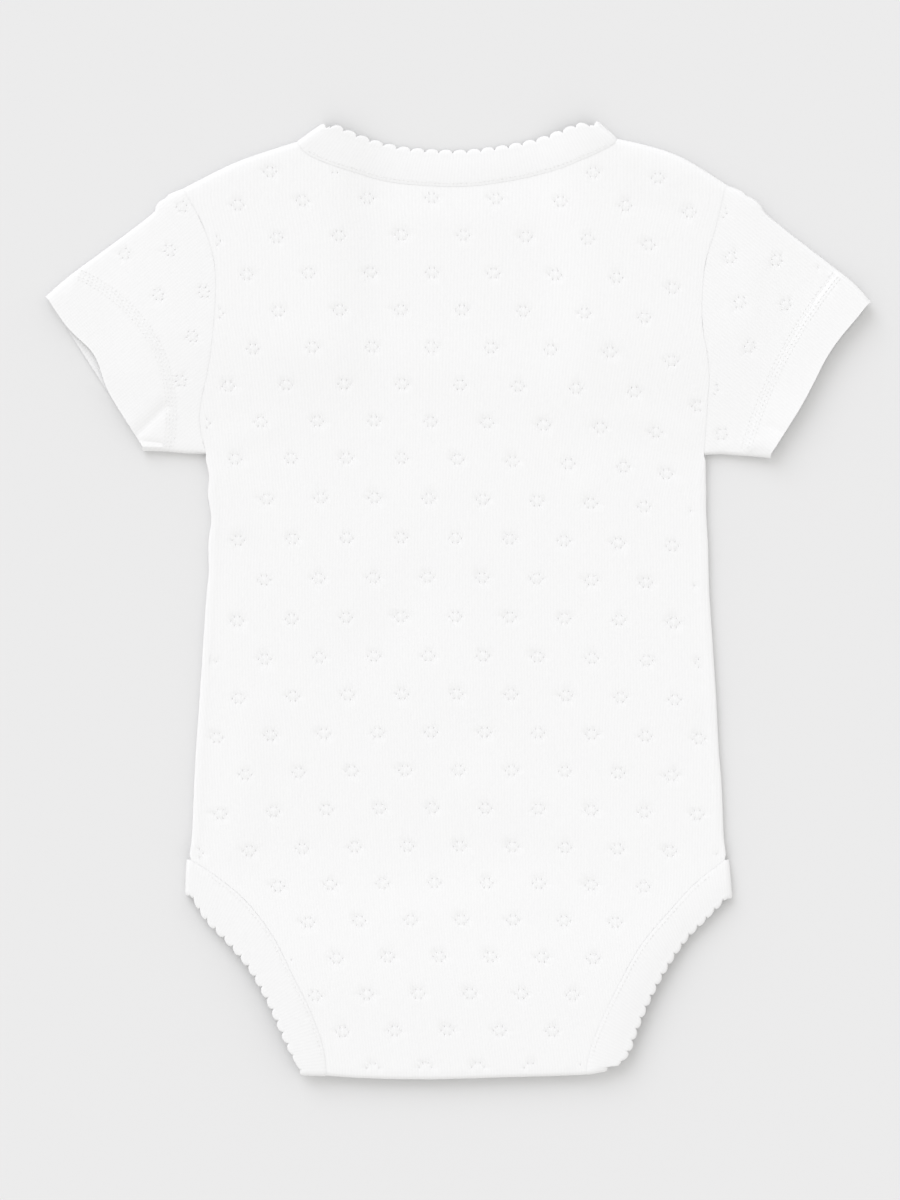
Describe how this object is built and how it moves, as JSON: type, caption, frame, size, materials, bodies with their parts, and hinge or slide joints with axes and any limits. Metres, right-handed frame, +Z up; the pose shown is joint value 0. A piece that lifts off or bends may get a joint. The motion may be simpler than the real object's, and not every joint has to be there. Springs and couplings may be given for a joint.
{
  "type": "baby bodysuit laid flat",
  "caption": "Short-sleeved newborn bodysuit laid flat on its front, with lapped shoulders, scalloped neck and leg bindings and a snapped crotch.",
  "frame": {"origin": "centre of the garment's box, on the surface that it lies on", "axes": "+Y towards the neck, +X to the right seen from behind, +Z up through the layers from the front to the back"},
  "size_m": [0.3132, 0.3615, 0.0064],
  "materials": {
    "cotton_pointelle_rib": "soft matt",
    "cotton_binding_rib": "soft matt",
    "snap_fastener": "satin"
  },
  "bodies": {
    "root": {"back_panel": "cotton_pointelle_rib", "front_panel": "cotton_pointelle_rib", "sleeve_left": "cotton_pointelle_rib", "sleeve_right": "cotton_pointelle_rib", "neck_binding_back": "cotton_binding_rib", "neck_binding_front": "cotton_binding_rib", "leg_binding_left": "cotton_binding_rib", "leg_binding_right": "cotton_binding_rib", "snap_1": "snap_fastener", "snap_2": "snap_fastener", "snap_3": "snap_fastener"}
  },
  "joints": []
}
